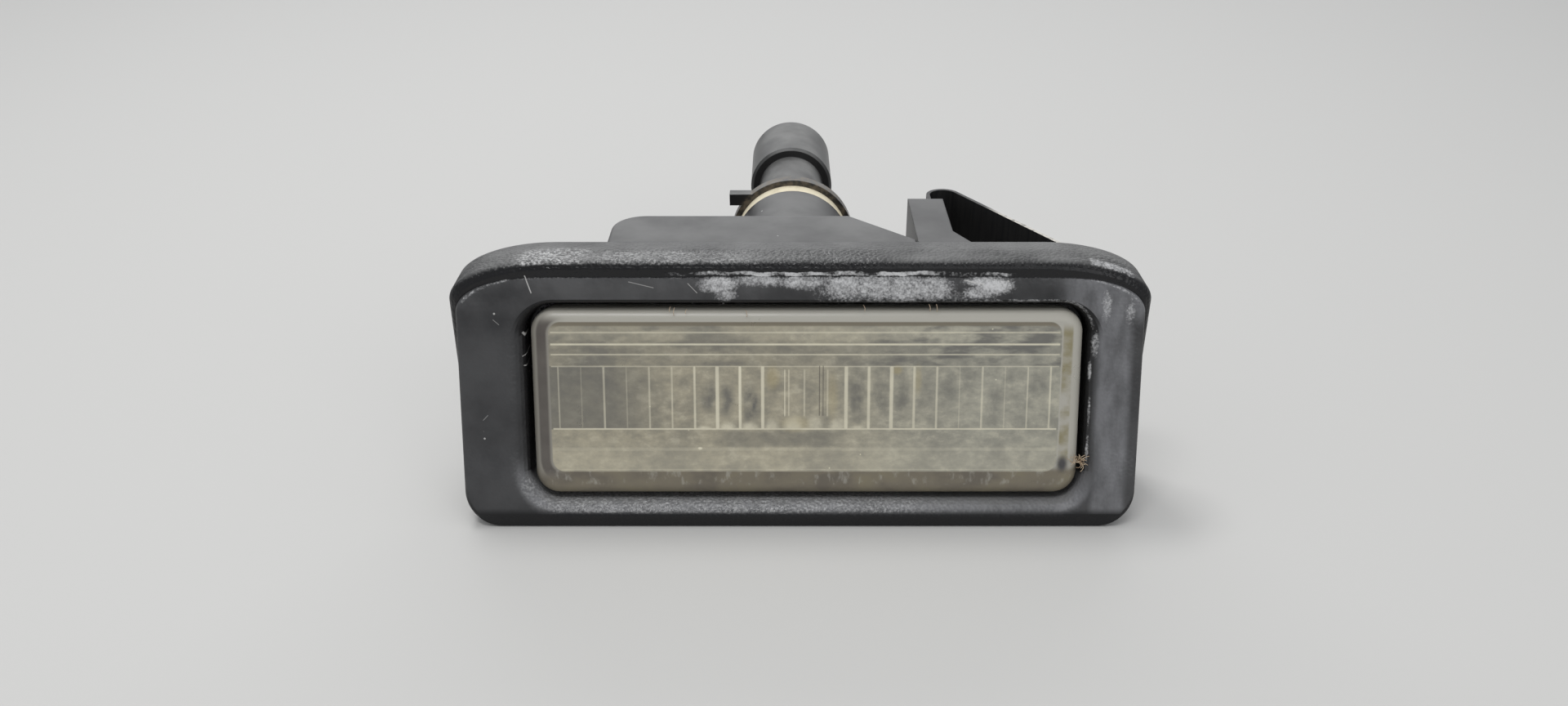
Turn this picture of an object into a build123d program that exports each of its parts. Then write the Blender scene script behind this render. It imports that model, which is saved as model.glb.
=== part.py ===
from build123d import *
import math
import os

os.makedirs("parts", exist_ok=True)

# A panel-mounted number plate lamp, in millimetres.
# X runs along the long side, Y from the lens to the back, Z up.
# The origin is the middle of the flange's back face, which seats on the panel.

# Flange that covers the edge of the panel's cut-out
flange_width = 86.6
flange_height = 33.0
flange_shoulder_run = 13.0
flange_shoulder_drop = 5.5
flange_foot_corner = 8.2
flange_thick = 6.1
flange_round = 1.1
flange_back_wall = 2.0

# Front frame, a wedge whose face leans back over an upright band at the foot
frame_side_step = 1.05
frame_top_step = 1.9
frame_foot_step = 0.1
frame_foot_band = 1.8
frame_shoulder_run = 11.0
frame_shoulder_drop = 4.5
frame_foot_corner = 4.5
frame_round = 0.6
face_lean = 16.0

# Window in the face, with a rolled lip
window_shift = 0.8
window_rise = 0.1
window_side_gap = 0.6
window_end_gap = 0.65
window_lip_side = 1.7
window_lip_top = 0.6
window_lip_foot = 1.6
window_lip_depth = 1.8
window_lip_steps = 5
window_seat = 1.4

# Lens
lens_width = 68.3
lens_height = 23.7
lens_corner = 3.0
lens_sunk = 0.3
lens_depth = 4.0
lens_plate = 2.0
lens_skirt = 1.9
lens_round = 1.5
flutes_each_side = 10
flute_pitch = 2.81
flute_bulge = 0.42
middle_flute = 4.74
flute_shift = -0.27
flute_band_top = 4.55
flute_band_foot = -3.45
top_prisms = 4
prism_pitch = 1.43
prism_height = 0.5
foot_prisms = 2
foot_prism_pitch = 2.65

# Rear chamber
wall = 1.8
box_left_margin = 18.3
box_right_margin = 27.95
box_depth = 14.3
box_margin = 1.95
box_slant = 8.45
box_corner = 4.4
box_round = 0.7

# Reflector tray inside the chamber
tray_wall = 1.0
tray_gap = 0.25
tray_nose_gap = 1.0
tray_hole_gap = 1.3

# Boss with a bayonet bore for the bulb holder
holder_shift = -0.8
boss_radius = 8.3
boss_length = 10.6
boss_drop = 0.55
boss_lip = 2.5
bore_radius = 6.3
key_width_deg = 44.0
key_turn_deg = 50.0
stop_width_deg = 12.0
stop_gap_deg = 2.0

# Bulb holder
holder_gap = 0.3
nose_length = 17.0
tab_radius = 6.9
tab_thick = 2.0
tab_width_deg = 36.0
tab_angle_deg = 141.0
holder_flange_radius = 9.05
holder_flange_thick = 1.8
lug_reach = 9.15
lug_rise = 6.05
lug_height = 1.7
nose_cup_depth = 2.5
nose_cup_gap = 0.4
neck_radius = 5.15
neck_length = 20.05
barrel_radius = 6.6
barrel_length = 14.5
barrel_edge = 0.4
socket_width = 9.4
socket_height = 6.0
socket_corner = 1.6
socket_depth = 12.0
pocket_width = 10.0
pocket_height = 5.4
pocket_corner = 1.0

# Seal ring
seal_radius = 8.25
seal_thick = 2.25
seal_gap = 0.05

# Bulb
bulb_radius = 5.0
bulb_glass = 12.6
bulb_shoulder = 2.4
bulb_dome_steps = 3
bulb_neck_radius = 2.3
wedge_width = 9.4
wedge_thick = 2.3
wedge_length = 8.6

# Contact strips
contact_width = 3.2
contact_thick = 0.6
contact_shift = 2.6
contact_gap = 0.06
contact_jog = 3.0
blade_recess = 5.2

# Clip arm and its spring
arm_width = 4.9
arm_length = 20.3
arm_height = 12.0
arm_gusset = 4.3
arm_gusset_run = 8.4
spring_thick = 0.5
spring_height = 10.4
spring_drop = 0.1
spring_slot_gap = 0.1
spring_inset = 3.05
spring_bend = 2.2
spring_lead = 1.8
leaf_angle_deg = 30.8
tongue_length = 9.0
tongue_height = 7.0
panel_gap = 2.4

# Fixed hook at the other end
hook_reach = 6.5
hook_thick = 2.2
hook_height = 12.0
hook_edge = 0.8

# Worked-out places
lean = math.radians(face_lean)
flange_top = flange_height / 2
frame_width = flange_width - 2 * frame_side_step
frame_top = flange_top - frame_top_step
frame_foot = -flange_top + frame_foot_step
frame_height = frame_top - frame_foot
frame_reach = flange_thick + frame_height * math.tan(lean)
frame_front = frame_reach - frame_foot_band * math.tan(lean)
face_length = frame_height / math.cos(lean)
face_plane = Plane(
    origin=(0, -frame_reach, frame_foot),
    x_dir=(1, 0, 0),
    z_dir=(0, -math.cos(lean), math.sin(lean)),
)
window_mid = Pos(window_shift, face_length / 2 + window_rise)
window_width = lens_width + 2 * window_side_gap
window_height = lens_height + 2 * window_end_gap
window_corner = lens_corner + window_end_gap
window_depth = lens_sunk + lens_depth
seat_plane = face_plane.offset(-window_depth)
box_left = flange_width / 2 - box_left_margin
box_right = flange_width / 2 - box_right_margin
box_top = flange_top - box_margin
holder_rise = box_top - boss_drop - boss_radius
holder_mid = Pos(holder_shift, holder_rise)
boss_end = box_depth + boss_length
nose_radius = bore_radius - holder_gap
seal_front = boss_end + seal_gap
holder_flange_front = seal_front + seal_thick
neck_front = holder_flange_front + holder_flange_thick
barrel_front = neck_front + neck_length
barrel_end = barrel_front + barrel_length
keyway_radius = tab_radius + holder_gap
lip_front = boss_end - boss_lip
tab_back = lip_front - holder_gap
tab_front = tab_back - tab_thick
nose_front = holder_flange_front - nose_length
tray_depth = nose_front - tray_nose_gap
bulb_seat = nose_front + nose_cup_depth
pocket_end = holder_flange_front
socket_front = barrel_end - socket_depth
blade_end = barrel_end - blade_recess
arm_left = box_right
arm_right = arm_left + arm_width
spring_line = arm_left + spring_inset


def along_depth(sketch, start, end):
    """Solid from a sketch drawn in X and Z, running from depth start to depth end."""
    return extrude(Plane.XZ.offset(-end) * sketch, end - start)


def upright(sketch, foot, top):
    """Solid from a sketch drawn in plan, running from height foot to height top."""
    return extrude(Pos(0, 0, foot) * sketch, top - foot)


def on_face(sketch, depth, thick):
    """Solid from a sketch drawn on the leaning face, sunk to a depth, growing inwards."""
    return extrude(face_plane.offset(-depth) * (window_mid * sketch), -thick)


def sector(outer, middle_deg, width_deg):
    """Flat sector of a disc about the holder's axis."""
    reach = 2 * outer
    half = math.radians(width_deg / 2)
    wedge = make_face(Polyline(
        (0, 0),
        (reach, -reach * math.tan(half)),
        (reach, reach * math.tan(half)),
        close=True,
    ))
    return holder_mid * (Circle(outer) & (Rot(0, 0, middle_deg) * wedge))


def box_plan():
    """Plan of the rear chamber: square at the left, slanted beside the clip arm."""
    front = -(flange_back_wall + wall)
    plan = make_face(Polyline(
        (-box_left, front),
        (-box_left, box_depth),
        (box_right - box_slant, box_depth),
        (box_right, box_depth - box_slant),
        (box_right, front),
        close=True,
    ))
    left_back = plan.vertices().sort_by_distance((-box_left, box_depth))[0]
    return fillet(left_back, box_corner)


def shouldered(width, top, foot, run, drop, foot_corner):
    """Outline with elliptical shoulders at the top and round corners at the foot."""
    half = width / 2
    shoulder = top - drop
    with BuildSketch() as outline:
        with BuildLine():
            EllipticalCenterArc((half - run, shoulder), run, drop, start_angle=0, arc_size=90)
            Line((half - run, top), (run - half, top))
            EllipticalCenterArc((run - half, shoulder), run, drop, start_angle=90, arc_size=90)
            Polyline((-half, shoulder), (-half, foot), (half, foot), (half, shoulder))
        make_face()
    return fillet(outline.sketch.vertices().group_by(Axis.Y)[0], foot_corner)


def window_lip():
    """Cutter for the rolled lip: a quarter ellipse from the face down to the window's wall."""
    rings = []
    for step in range(window_lip_steps + 1):
        turn = math.radians(90) * step / window_lip_steps
        spread = 1 - math.sin(turn)
        ring = Pos(0, spread * (window_lip_top - window_lip_foot) / 2) * RectangleRounded(
            window_width + 2 * window_lip_side * spread,
            window_height + (window_lip_top + window_lip_foot) * spread,
            window_corner + window_lip_side * spread,
        )
        sunk = window_lip_depth * (1 - math.cos(turn))
        rings.append(face_plane.offset(-sunk) * window_mid * ring)
    return loft(rings, ruled=True)


def front_frame():
    """Wedge with a leaning face and rounded front edges, cut off upright at the foot."""
    outline = shouldered(
        frame_width, frame_top, frame_foot, frame_shoulder_run, frame_shoulder_drop, frame_foot_corner)
    block = along_depth(outline, -frame_reach, -flange_back_wall)
    wedge = split(block, bisect_by=face_plane, keep=Keep.BOTTOM)
    face = wedge.faces().sort_by(SortBy.AREA).filter_by(face_plane)[-1]
    foot_band = Plane((0, -frame_front, 0), z_dir=(0, 1, 0))
    return split(fillet(face.edges(), frame_round), bisect_by=foot_band, keep=Keep.TOP)


def flange():
    """Flange plate with a rounded front edge."""
    outline = shouldered(
        flange_width, flange_top, -flange_top, flange_shoulder_run, flange_shoulder_drop, flange_foot_corner)
    plate = along_depth(outline, -flange_thick, 0)
    return fillet(plate.faces().sort_by(Axis.Y)[0].edges(), flange_round)


def chamber_outline(gap):
    """Opening behind the lens seat, drawn in X and Z and shrunk by a gap."""
    middle = (seat_plane * window_mid).position
    height = window_height * math.cos(lean)
    return Pos(window_shift, middle.Z) * RectangleRounded(
        window_width - 2 * window_seat - 2 * gap,
        height - 2 * window_seat - 2 * gap,
        window_corner,
    )


def clip_arm():
    """Arm beside the chamber, with a gusset at its root and a slot for the spring."""
    plan = make_face(Polyline(
        (arm_left, -flange_back_wall),
        (arm_left, arm_length),
        (arm_right, arm_length),
        (arm_right, arm_gusset_run),
        (arm_right + arm_gusset, 0),
        (arm_right + arm_gusset, -flange_back_wall),
        close=True,
    ))
    arm = upright(plan, box_top - arm_height, box_top)
    slot_width = spring_thick + 2 * spring_slot_gap
    slot_height = tongue_height + 2 * spring_slot_gap
    slot_mid = box_top - spring_drop - spring_height / 2
    slot = along_depth(
        Pos(spring_line, slot_mid) * Rectangle(slot_width, slot_height),
        arm_length - tongue_length - spring_slot_gap,
        arm_length,
    )
    return arm - slot


def hook():
    """Fixed tongue that tucks behind the edge of the panel."""
    tongue = along_depth(
        Pos(-box_left - hook_reach / 2, 0) * Rectangle(hook_reach, hook_height),
        panel_gap,
        panel_gap + hook_thick,
    )
    tip = tongue.faces().sort_by(Axis.X)[0]
    return chamfer(tip.edges().filter_by(Axis.Z), hook_edge)


def housing():
    chamber = upright(box_plan(), -box_top, box_top)
    chamber = fillet(chamber.faces().sort_by(Axis.Z)[-1].edges().filter_by(
        lambda edge: edge.center().Y > 0), box_round)
    boss = along_depth(holder_mid * Circle(boss_radius), box_depth - wall, boss_end)
    body = flange() + front_frame() + chamber + boss + clip_arm() + hook()

    body -= window_lip()
    body -= on_face(RectangleRounded(window_width, window_height, window_corner), 0, window_depth)

    behind_seat = along_depth(chamber_outline(0), -frame_reach, -flange_back_wall)
    body -= split(behind_seat, bisect_by=seat_plane.offset(window_depth / 2), keep=Keep.BOTTOM)
    body -= upright(offset(box_plan(), -wall), -box_top + wall, box_top - wall)

    bore = holder_mid * Circle(bore_radius)
    mouth = bore
    cavity = holder_mid * Circle(keyway_radius)
    stop_turn = (tab_width_deg + stop_width_deg) / 2 + stop_gap_deg
    for side in (0, 180):
        mouth += sector(keyway_radius, tab_angle_deg - key_turn_deg + side, key_width_deg)
        cavity -= sector(keyway_radius, tab_angle_deg + stop_turn + side, stop_width_deg)
    body -= along_depth(cavity + bore, box_depth - wall, lip_front)
    return body - along_depth(mouth, lip_front, boss_end)


def lens():
    """Dished cover with vertical flutes and horizontal prisms on its inner face."""
    outline = RectangleRounded(lens_width, lens_height, lens_corner)
    cover = on_face(outline, lens_sunk, lens_depth)
    front = max(cover.faces(), key=lambda face: face.center().dot(face_plane.z_dir))
    cover = fillet(front.edges(), lens_round)
    inside = RectangleRounded(
        lens_width - 2 * lens_skirt, lens_height - 2 * lens_skirt, lens_corner - lens_skirt / 2)
    cover -= on_face(inside, lens_sunk + lens_plate, lens_depth)
    return cover + flutes() + prisms()


def flutes():
    """Band of upright cylindrical flutes, with one wide flute in the middle."""
    edges = [-middle_flute / 2 - flute_pitch * i for i in range(flutes_each_side, -1, -1)]
    edges += [-edge for edge in reversed(edges)]
    with BuildSketch() as profile:
        with BuildLine():
            for left, right in zip(edges, edges[1:]):
                ThreePointArc((left, 0), ((left + right) / 2, flute_bulge), (right, 0))
            root = -lens_plate / 2
            Polyline((edges[-1], 0), (edges[-1], root), (edges[0], root), (edges[0], 0))
        make_face()
    band = face_plane.offset(-lens_sunk - lens_plate) * window_mid * Pos(flute_shift, flute_band_foot)
    across = Plane(
        origin=band.position,
        x_dir=face_plane.x_dir,
        z_dir=face_plane.y_dir,
    )
    return extrude(across * profile.sketch, flute_band_top - flute_band_foot)


def prisms():
    """Rows of sloping prisms above and below the flutes."""
    width = 2 * flutes_each_side * flute_pitch + middle_flute
    root = lens_plate / 2
    rows = []
    for i in range(top_prisms):
        rows.append((flute_band_top + prism_pitch * i, prism_pitch))
    for i in range(foot_prisms):
        rows.append((flute_band_foot - foot_prism_pitch * (i + 1), foot_prism_pitch))
    left_end = Pos(flute_shift - width / 2)
    start = (face_plane.offset(-lens_sunk - lens_plate) * window_mid * left_end).position
    section = Plane(origin=start, x_dir=face_plane.y_dir, z_dir=face_plane.x_dir)
    ridges = Part()
    for foot, pitch in rows:
        ridge = make_face(Polyline(
            (foot, root),
            (foot, 0),
            (foot + pitch, -prism_height),
            (foot + pitch, root),
            close=True,
        ))
        ridges += extrude(section * ridge, width)
    return ridges


def cup_block(inset, back):
    """Block that fills the rear chamber up to a depth, shrunk by an inset."""
    plan = offset(box_plan(), -wall - inset)
    block = upright(plan, -box_top + wall + inset, box_top - wall - inset)
    return split(block, bisect_by=Plane((0, back, 0), z_dir=(0, 1, 0)), keep=Keep.BOTTOM)


def collar_block(inset, front, back):
    """Block that joins the front pan to the cup through the flange's back wall."""
    low = -box_left + wall + inset
    high = box_right - wall - inset
    depth_face = Pos((low + high) / 2, 0) * Rectangle(high - low, 2 * (box_top - wall - inset))
    return along_depth(depth_face & chamber_outline(inset), front, back)


def reflector():
    """Pale tray: a shallow front pan that opens into a cup round the bulb."""
    pan_back = -flange_back_wall - tray_gap
    pan_floor = pan_back - tray_wall
    cup_front = -flange_back_wall + tray_gap
    inner = tray_gap + tray_wall
    pan = along_depth(chamber_outline(tray_gap), -frame_reach, pan_back)
    pan -= along_depth(chamber_outline(inner), -frame_reach, pan_floor)
    pan = split(pan, bisect_by=seat_plane.offset(-tray_gap), keep=Keep.BOTTOM)
    tray = pan + cup_block(tray_gap, tray_depth)
    tray += collar_block(tray_gap, pan_floor, cup_front + tray_wall)
    tray -= cup_block(inner, tray_depth - tray_wall)
    tray -= collar_block(inner, pan_floor, cup_front + 2 * tray_wall)
    return tray - along_depth(holder_mid * Circle(bulb_radius + tray_hole_gap), 0, tray_depth)


def bulb_holder():
    """Twist-lock holder: nose with bayonet tabs, flange with lugs, neck and connector barrel."""
    body = along_depth(holder_mid * Circle(nose_radius), nose_front, holder_flange_front)
    body += along_depth(holder_mid * Circle(holder_flange_radius), holder_flange_front, neck_front)
    body += along_depth(holder_mid * Circle(neck_radius), neck_front, barrel_front)
    barrel = along_depth(holder_mid * Circle(barrel_radius), barrel_front, barrel_end)
    body += chamfer(barrel.edges().filter_by(GeomType.CIRCLE), barrel_edge)
    for side in (0, 180):
        tab = sector(tab_radius, tab_angle_deg + side, tab_width_deg)
        body += along_depth(tab, tab_front, tab_back)
        lug = Pos(-lug_reach / 2, lug_rise) * Rectangle(lug_reach, lug_height)
        lug = holder_mid * Rot(0, 0, side) * lug
        body += along_depth(lug, holder_flange_front, neck_front)
    pocket = holder_mid * RectangleRounded(pocket_width, pocket_height, pocket_corner)
    body -= along_depth(pocket, nose_front, pocket_end)
    body -= along_depth(holder_mid * Circle(bulb_radius + nose_cup_gap), nose_front, bulb_seat)
    socket = holder_mid * RectangleRounded(socket_width, socket_height, socket_corner)
    body -= along_depth(socket, socket_front, barrel_end)
    for side in (-1, 1):
        slot = Pos(side * contact_shift, 0) * Rectangle(
            contact_width + 2 * contact_gap, contact_thick + 2 * contact_gap)
        body -= along_depth(holder_mid * slot, pocket_end, socket_front)
    return body


def holder_seal():
    ring = Circle(seal_radius) - Circle(nose_radius + seal_gap)
    return along_depth(holder_mid * ring, seal_front, seal_front + seal_thick)


def bulb():
    """Glass wedge-base bulb: domed tube, sloping shoulder and a flat pinched base."""
    dome_mid = bulb_seat - bulb_glass + bulb_radius
    turns = [math.pi / 2 * step / bulb_dome_steps for step in range(bulb_dome_steps + 1)]
    dome = [(bulb_radius * math.cos(turn), dome_mid - bulb_radius * math.sin(turn)) for turn in turns]
    half = make_face(Polyline(
        (0, bulb_seat),
        (bulb_neck_radius, bulb_seat),
        (bulb_radius, bulb_seat - bulb_shoulder),
        *dome,
        close=True,
    ))
    glass = Pos(holder_shift, 0, holder_rise) * revolve(half, Axis.Y)
    base = holder_mid * Rectangle(wedge_width, wedge_thick)
    return glass + along_depth(base, bulb_seat - bulb_shoulder, bulb_seat + wedge_length)


def contact(side):
    """Strip that presses on one face of the bulb's base and ends as a blade in the socket."""
    finger = side * (wedge_thick / 2 + contact_gap + contact_thick / 2)
    jog_start = bulb_seat + wedge_length + holder_gap
    jog_end = jog_start + contact_jog
    finger_start = bulb_seat + contact_thick
    path = Polyline((finger_start, finger), (jog_start, finger), (jog_end, 0), (blade_end, 0))
    profile = make_face(offset(path, contact_thick / 2))
    section = Plane(
        origin=(holder_shift + side * contact_shift - contact_width / 2, 0, holder_rise),
        x_dir=(0, 1, 0),
        z_dir=(1, 0, 0),
    )
    return extrude(section * profile, contact_width)


def spring_clip():
    """Hairpin strip: a tongue in the arm, a round bend and a leaf that flares to the panel."""
    angle = math.radians(leaf_angle_deg)
    bend_y = arm_length + spring_lead
    bend_mid = Vector(spring_line + spring_bend, bend_y)
    leaf_start = bend_mid + Vector(math.cos(angle), math.sin(angle)) * spring_bend
    leaf_run = leaf_start.Y - panel_gap
    leaf_end = leaf_start + Vector(leaf_run * math.tan(angle), -leaf_run)
    bend_top = bend_mid + Vector(0, spring_bend)
    with BuildLine() as hairpin:
        Line((spring_line, arm_length), (spring_line, bend_y))
        ThreePointArc((spring_line, bend_y), (bend_top.X, bend_top.Y), (leaf_start.X, leaf_start.Y))
        Line((leaf_start.X, leaf_start.Y), (leaf_end.X, leaf_end.Y))
    top = box_top - spring_drop
    strip = upright(trace(hairpin.line, spring_thick), top - spring_height, top)
    middle = top - spring_height / 2
    tongue = Pos(spring_line, arm_length - tongue_length / 2) * Rectangle(spring_thick, tongue_length)
    return strip + upright(tongue, middle - tongue_height / 2, middle + tongue_height / 2)


pieces = {
    "housing": housing(),
    "lens": lens(),
    "reflector": reflector(),
    "bulb_holder": bulb_holder(),
    "holder_seal": holder_seal(),
    "bulb": bulb(),
    "contact_left": contact(-1),
    "contact_right": contact(1),
    "spring_clip": spring_clip(),
}
for name, piece in pieces.items():
    export_step(piece, f"parts/{name}.step")
    box = piece.bounding_box()
    print(name, round(piece.volume, 1), [round(v, 2) for v in box.min], [round(v, 2) for v in box.max])
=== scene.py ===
# %% [markdown]
# A number plate lamp is a small black moulding that clips into a bumper. It carries a clear ribbed lens
# at the front, and a twist-lock bulb holder with a connector barrel at the back. The solids arrive from a
# CAD model at their real size, so this lesson never moves them. It sets up the portrait, then gives every
# piece its finish.

import math
import random

import bpy
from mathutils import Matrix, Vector


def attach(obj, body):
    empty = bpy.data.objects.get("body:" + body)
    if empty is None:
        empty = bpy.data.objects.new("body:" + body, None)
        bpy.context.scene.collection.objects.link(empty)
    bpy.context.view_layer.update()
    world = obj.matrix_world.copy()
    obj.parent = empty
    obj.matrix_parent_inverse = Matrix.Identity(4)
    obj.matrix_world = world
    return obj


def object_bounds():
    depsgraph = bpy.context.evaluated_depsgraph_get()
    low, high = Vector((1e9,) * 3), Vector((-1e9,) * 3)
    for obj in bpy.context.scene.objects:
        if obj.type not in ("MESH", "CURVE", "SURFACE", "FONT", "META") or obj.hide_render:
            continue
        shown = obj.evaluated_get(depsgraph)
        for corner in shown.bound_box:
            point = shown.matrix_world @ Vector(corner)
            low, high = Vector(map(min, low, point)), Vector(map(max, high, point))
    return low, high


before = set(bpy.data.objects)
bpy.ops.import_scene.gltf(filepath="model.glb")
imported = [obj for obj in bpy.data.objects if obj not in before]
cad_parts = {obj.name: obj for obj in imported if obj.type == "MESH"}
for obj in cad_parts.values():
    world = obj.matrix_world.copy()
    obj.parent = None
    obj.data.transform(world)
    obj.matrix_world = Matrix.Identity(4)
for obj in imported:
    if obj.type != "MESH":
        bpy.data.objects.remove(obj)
cad_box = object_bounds()
MM = 0.001
print("pieces:", sorted(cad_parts))
print("box in mm:", [[round(v / MM, 1) for v in corner] for corner in cad_box])

# %% [markdown]
# The camera is a phone held close and above. Its place was worked out from the straight edges of the
# lamp: they meet at vanishing points, which give the lens and the tilt, and the flange's width gives the
# distance. A wide lens close by makes the rear of the lamp look small, so the distance matters more than
# the zoom.

# %% Camera
PHOTO_WIDTH_PX = 1920
LENS_PX = 1512
SENSOR_MM = 36.0
NEAR_MM = 10
CAMERA_PLACE = Vector((-2.0, -143.0, 76.3)) * MM
CAMERA_DROP_DEG = 27.83

camera_data = bpy.data.cameras.new("portrait_camera")
camera_data.sensor_width = SENSOR_MM
camera_data.lens = LENS_PX / PHOTO_WIDTH_PX * SENSOR_MM
camera_data.clip_start = NEAR_MM * MM
camera = bpy.data.objects.new("portrait_camera", camera_data)
camera.location = CAMERA_PLACE
camera.rotation_euler = (math.radians(90 - CAMERA_DROP_DEG), 0, 0)
bpy.context.scene.collection.objects.link(camera)
bpy.context.scene.camera = camera
print("camera lens", round(camera_data.lens, 2), "mm")

# %% [markdown]
# The lamp stands on a plain pale floor. One large sheet is enough, because the camera looks down and
# never sees its edge. The floor lies at the lowest point of the solids, so the lamp's foot touches it.

# %% Floor
FLOOR_HALF = 3.0
FLOOR_COLOUR = (0.56, 0.555, 0.54, 1)
FLOOR_ROUGHNESS = 0.7

floor_mesh = bpy.data.meshes.new("floor")
floor_height = cad_box[0][2]
corners = [(-1, -1), (1, -1), (1, 1), (-1, 1)]
floor_points = [(x * FLOOR_HALF, y * FLOOR_HALF, floor_height) for x, y in corners]
floor_mesh.from_pydata(floor_points, [], [(0, 1, 2, 3)])
floor = bpy.data.objects.new("floor", floor_mesh)
bpy.context.scene.collection.objects.link(floor)
floor_material = bpy.data.materials.new("pale_floor")
floor_material.use_nodes = True
floor_shader = floor_material.node_tree.nodes["Principled BSDF"]
floor_shader.inputs["Base Color"].default_value = FLOOR_COLOUR
floor_shader.inputs["Roughness"].default_value = FLOOR_ROUGHNESS
floor_mesh.materials.append(floor_material)
print("floor at", round(floor_height / MM, 2), "mm")

# %% [markdown]
# The light is soft and comes mostly from above, as under a roof window. A wide box overhead lights the
# upper faces. Glints need something small and bright to mirror, so two narrow strips hang beside it: one
# behind and to the left for the flange's front edge, one in front for the window's lower lip. A weak box
# in front and to the right lifts the lens, another far behind puts a sheen on the tops, and an even world
# fills the shadows. The table gives each box its place and size, in metres, and its brightness.

# %% Lights
SOFTBOXES = [
    ("top_box", (0.0, -0.04, 0.62), (0.50, 0.36), 1.0),
    ("roof_strip", (-0.14, 0.20, 0.58), (0.20, 0.09), 20.0),
    ("lip_strip", (-0.10, -0.20, 0.58), (0.26, 0.08), 13.0),
    ("back_box", (0.0, 0.85, 0.45), (1.2, 0.5), 1.2),
    ("front_box", (0.40, -0.80, 0.50), (0.7, 0.5), 1.2),
]
WORLD_COLOUR = (0.80, 0.82, 0.85, 1)
WORLD_STRENGTH = 0.54


def softbox(name, place, size, strength):
    """Area lamp that shines from place to the lamp, with an even brightness of strength over its face."""
    light = bpy.data.lights.new(name, "AREA")
    light.shape = "RECTANGLE"
    light.size, light.size_y = size
    light.energy = strength * math.pi * size[0] * size[1]
    box = bpy.data.objects.new(name, light)
    box.location = place
    box.rotation_euler = (-Vector(place)).to_track_quat("-Z", "Y").to_euler()
    bpy.context.scene.collection.objects.link(box)
    print(name, "gives", round(light.energy, 2), "W")


for box_values in SOFTBOXES:
    softbox(*box_values)

world = bpy.data.worlds.new("studio")
world.use_nodes = True
background = world.node_tree.nodes["Background"]
background.inputs["Color"].default_value = WORLD_COLOUR
background.inputs["Strength"].default_value = WORLD_STRENGTH
bpy.context.scene.world = world
bpy.context.scene.view_settings.view_transform = "Standard"

# %% [markdown]
# Finishes are painted with nodes, in millimetres, so that a grain of half a millimetre is written as 0.5.
# The helper below wraps a material's node tree and gives each common step one short call. It reads the
# place and the facing in the piece's own space, so dust and scratches stay where they are when the holder
# is turned.
#
# A mask is a value from 0 to 1 that says how much of a finish lies at a place. Its limits come in twos and
# threes. Two are a fade, from nothing at the first to full at the second. Three are a band: full from the
# first to the second, and gone beyond them by the third. The end of a limit's name says what it measures:
# SPAN is along X, DEPTH along Y, HEIGHT along Z, EDGE is the distance from a border, TILT is how far a face
# looks up, from 0 on a wall to 1 on a level face, and CUT lies between two values of a noise.

# %% Paint helper
BEVEL_RAYS = 6
SPECK_CORE = 0.02
SPECK_STRENGTH = 0.7


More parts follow.
